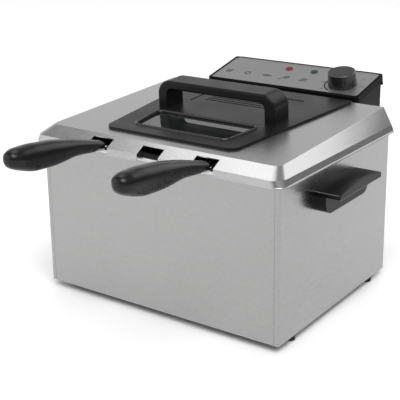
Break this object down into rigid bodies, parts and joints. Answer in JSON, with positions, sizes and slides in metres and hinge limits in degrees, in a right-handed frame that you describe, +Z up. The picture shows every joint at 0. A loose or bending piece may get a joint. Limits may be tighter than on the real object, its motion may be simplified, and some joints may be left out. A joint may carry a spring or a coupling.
{
  "type": "deep fryer",
  "caption": "Countertop electric deep fryer: brushed steel casing, lift-off lid with window, lift-out baskets with long grips and a slide-on heating unit at the rear.",
  "frame": {"origin": "on the surface under the feet, under the middle of the object's bounding box", "axes": "+Z up, +Y to the rear (control unit), +X to the user's right; the basket grips point to -Y"},
  "size_m": [0.434, 0.5607, 0.2801],
  "materials": {
    "casing_steel": "brushed, fine horizontal grain",
    "lid_steel": "brushed",
    "panel_steel": "fine satin brush",
    "inner_steel": "plain mill finish",
    "plain_screw_steel": "zinc plated",
    "basket_wire": "bright tinned wire",
    "element_tube": "dark stainless tube",
    "copper_tube": "drawn copper",
    "base_paint": "black paint",
    "black_satin": "fine satin texture",
    "black_grip": "fine satin texture",
    "black_gloss": "semi-gloss",
    "black_fittings": "moulded",
    "ceramic_white": "moulded thermoset",
    "foot_rubber": "matt",
    "seal_rubber": "silicone, matt",
    "filter_felt": "charcoal felt",
    "window": "clear, polished",
    "lens_red": "clear red, polished",
    "lens_green": "clear green, polished",
    "dial_black": "satin",
    "reset_red": "moulded"
  },
  "bodies": {
    "base": {"casing_wrapper": "casing_steel", "casing_front": "casing_steel", "rim_frame": "inner_steel", "base_plate": "base_paint", "foot_front_left": "foot_rubber", "foot_front_right": "foot_rubber", "foot_rear_left": "foot_rubber", "foot_rear_right": "foot_rubber", "foot_screws": "plain_screw_steel", "side_handle_left": "black_satin", "side_handle_right": "black_satin", "side_handle_screws": "plain_screw_steel", "guide_rails": "inner_steel", "rail_rivets": "plain_screw_steel", "interlock_tab": "black_fittings"},
    "pot": {"oil_pot": "inner_steel"},
    "lid": {"lid_shell": "lid_steel", "lid_insert": "black_satin", "window_glass": "window", "window_seal": "seal_rubber", "filter_mat": "filter_felt", "filter_cover": "black_satin", "lid_baffle": "inner_steel", "lid_handle": "black_satin", "lid_handle_screws": "plain_screw_steel"},
    "control": {"panel_cover": "black_gloss", "faceplate": "panel_steel", "lamp_lens_red": "lens_red", "lamp_lens_green": "lens_green", "lamp_holders": "ceramic_white", "dial_ring": "dial_black", "thermostat_body": "black_fittings", "control_housing": "black_satin", "back_plate": "black_satin", "back_plate_screws": "plain_screw_steel", "cord_gland": "black_fittings", "terminal_block": "ceramic_white", "thermal_cutout": "black_fittings", "interlock_switch": "black_fittings", "heating_element": "element_tube", "element_bracket": "inner_steel", "element_hood": "inner_steel", "element_clamp": "inner_steel", "bulb_clips": "inner_steel", "thermostat_bulb": "copper_tube", "capillary_tube": "copper_tube"},
    "knob": {"control_knob": "black_gloss", "thermostat_shaft": "plain_screw_steel"},
    "reset_button": {"reset_button": "reset_red"},
    "interlock_plunger": {"interlock_plunger": "ceramic_white"},
    "basket_left": {"basket_left_mesh": "basket_wire", "basket_left_rim": "basket_wire", "basket_left_hanger": "basket_wire", "basket_left_clip": "basket_wire", "basket_left_grip": "black_grip"},
    "basket_right": {"basket_right_mesh": "basket_wire", "basket_right_rim": "basket_wire", "basket_right_hanger": "basket_wire", "basket_right_clip": "basket_wire", "basket_right_grip": "black_grip"}
  },
  "joints": [
    {"name": "pot_lift", "type": "slide", "parent": "base", "child": "pot", "axis": [0, 0, 1], "range_m": [0, 0.16]},
    {"name": "lid_lift", "type": "slide", "parent": "pot", "child": "lid", "axis": [0, 0, 1], "range_m": [0, 0.45]},
    {"name": "basket_left_lift", "type": "slide", "parent": "pot", "child": "basket_left", "axis": [0, 0, 1], "range_m": [0, 0.27]},
    {"name": "basket_right_lift", "type": "slide", "parent": "pot", "child": "basket_right", "axis": [0, 0, 1], "range_m": [0, 0.27]},
    {"name": "control_lift", "type": "slide", "parent": "pot", "child": "control", "axis": [0, 0, 1], "range_m": [0, 0.18]},
    {"name": "knob_turn", "type": "hinge", "parent": "control", "child": "knob", "pos_m": [0.0857, 0.22239, 0.25459], "axis": [0, -0.2233, 0.9748], "range_deg": [-270, 0]},
    {"name": "reset_press", "type": "slide", "parent": "control", "child": "reset_button", "axis": [0, -1, 0], "range_m": [0, 0.002]},
    {"name": "interlock_press", "type": "slide", "parent": "control", "child": "interlock_plunger", "axis": [0, 1, 0], "range_m": [0, 0.0012]}
  ],
  "couplings": [
    {"joint": "basket_left_lift", "follows": "lid_lift", "ratio": 0.6},
    {"joint": "basket_right_lift", "follows": "lid_lift", "ratio": 0.6},
    {"joint": "control_lift", "follows": "lid_lift", "ratio": 0.4}
  ]
}
